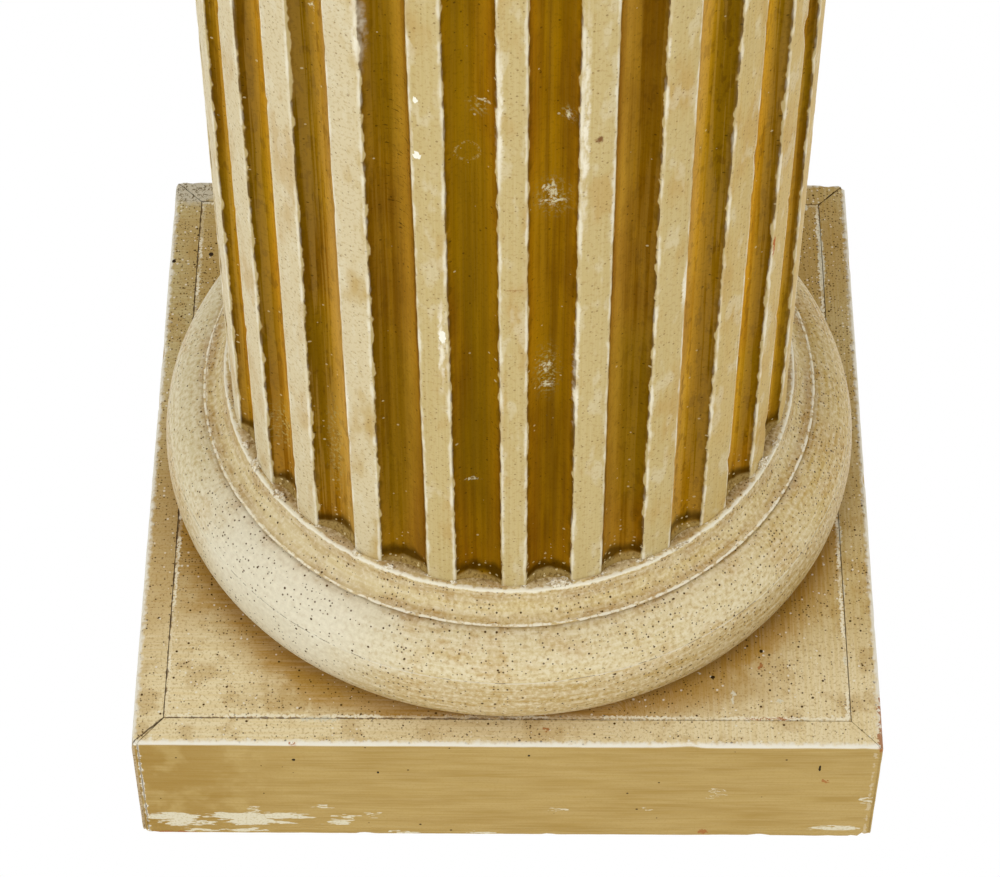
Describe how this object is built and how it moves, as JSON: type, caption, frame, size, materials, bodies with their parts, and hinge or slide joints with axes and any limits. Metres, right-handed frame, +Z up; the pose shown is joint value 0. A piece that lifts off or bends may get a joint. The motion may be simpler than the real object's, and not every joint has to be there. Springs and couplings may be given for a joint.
{
  "type": "fluted column pedestal",
  "caption": "Floor pedestal shaped as a fluted column on a low square plinth, with a turned base and a flat square top to stand things on.",
  "frame": {"origin": "centre of the plinth's underside, on the floor", "axes": "+Z up along the shaft, -Y the plinth's front face, +X to the right seen from the front"},
  "size_m": [0.356, 0.356, 1.0163],
  "materials": {
    "plinth_glaze": "tan glaze over cream paint on gesso, specked and worn white along its arrises",
    "base_paint": "cream paint with a brown glaze in the hollows, specked and worn white along its arrises",
    "shaft_gilding": "aged gold paint in the flutes, cream paint on the fillets between them"
  },
  "bodies": {
    "root": {"plinth_board_front": "plinth_glaze", "plinth_board_right": "plinth_glaze", "plinth_board_back": "plinth_glaze", "plinth_board_left": "plinth_glaze", "plinth_panel": "plinth_glaze", "base_lower_layer": "base_paint", "base_upper_layer": "base_paint", "shaft": "shaft_gilding", "neck_moulding": "base_paint", "top_board": "base_paint"}
  },
  "joints": []
}
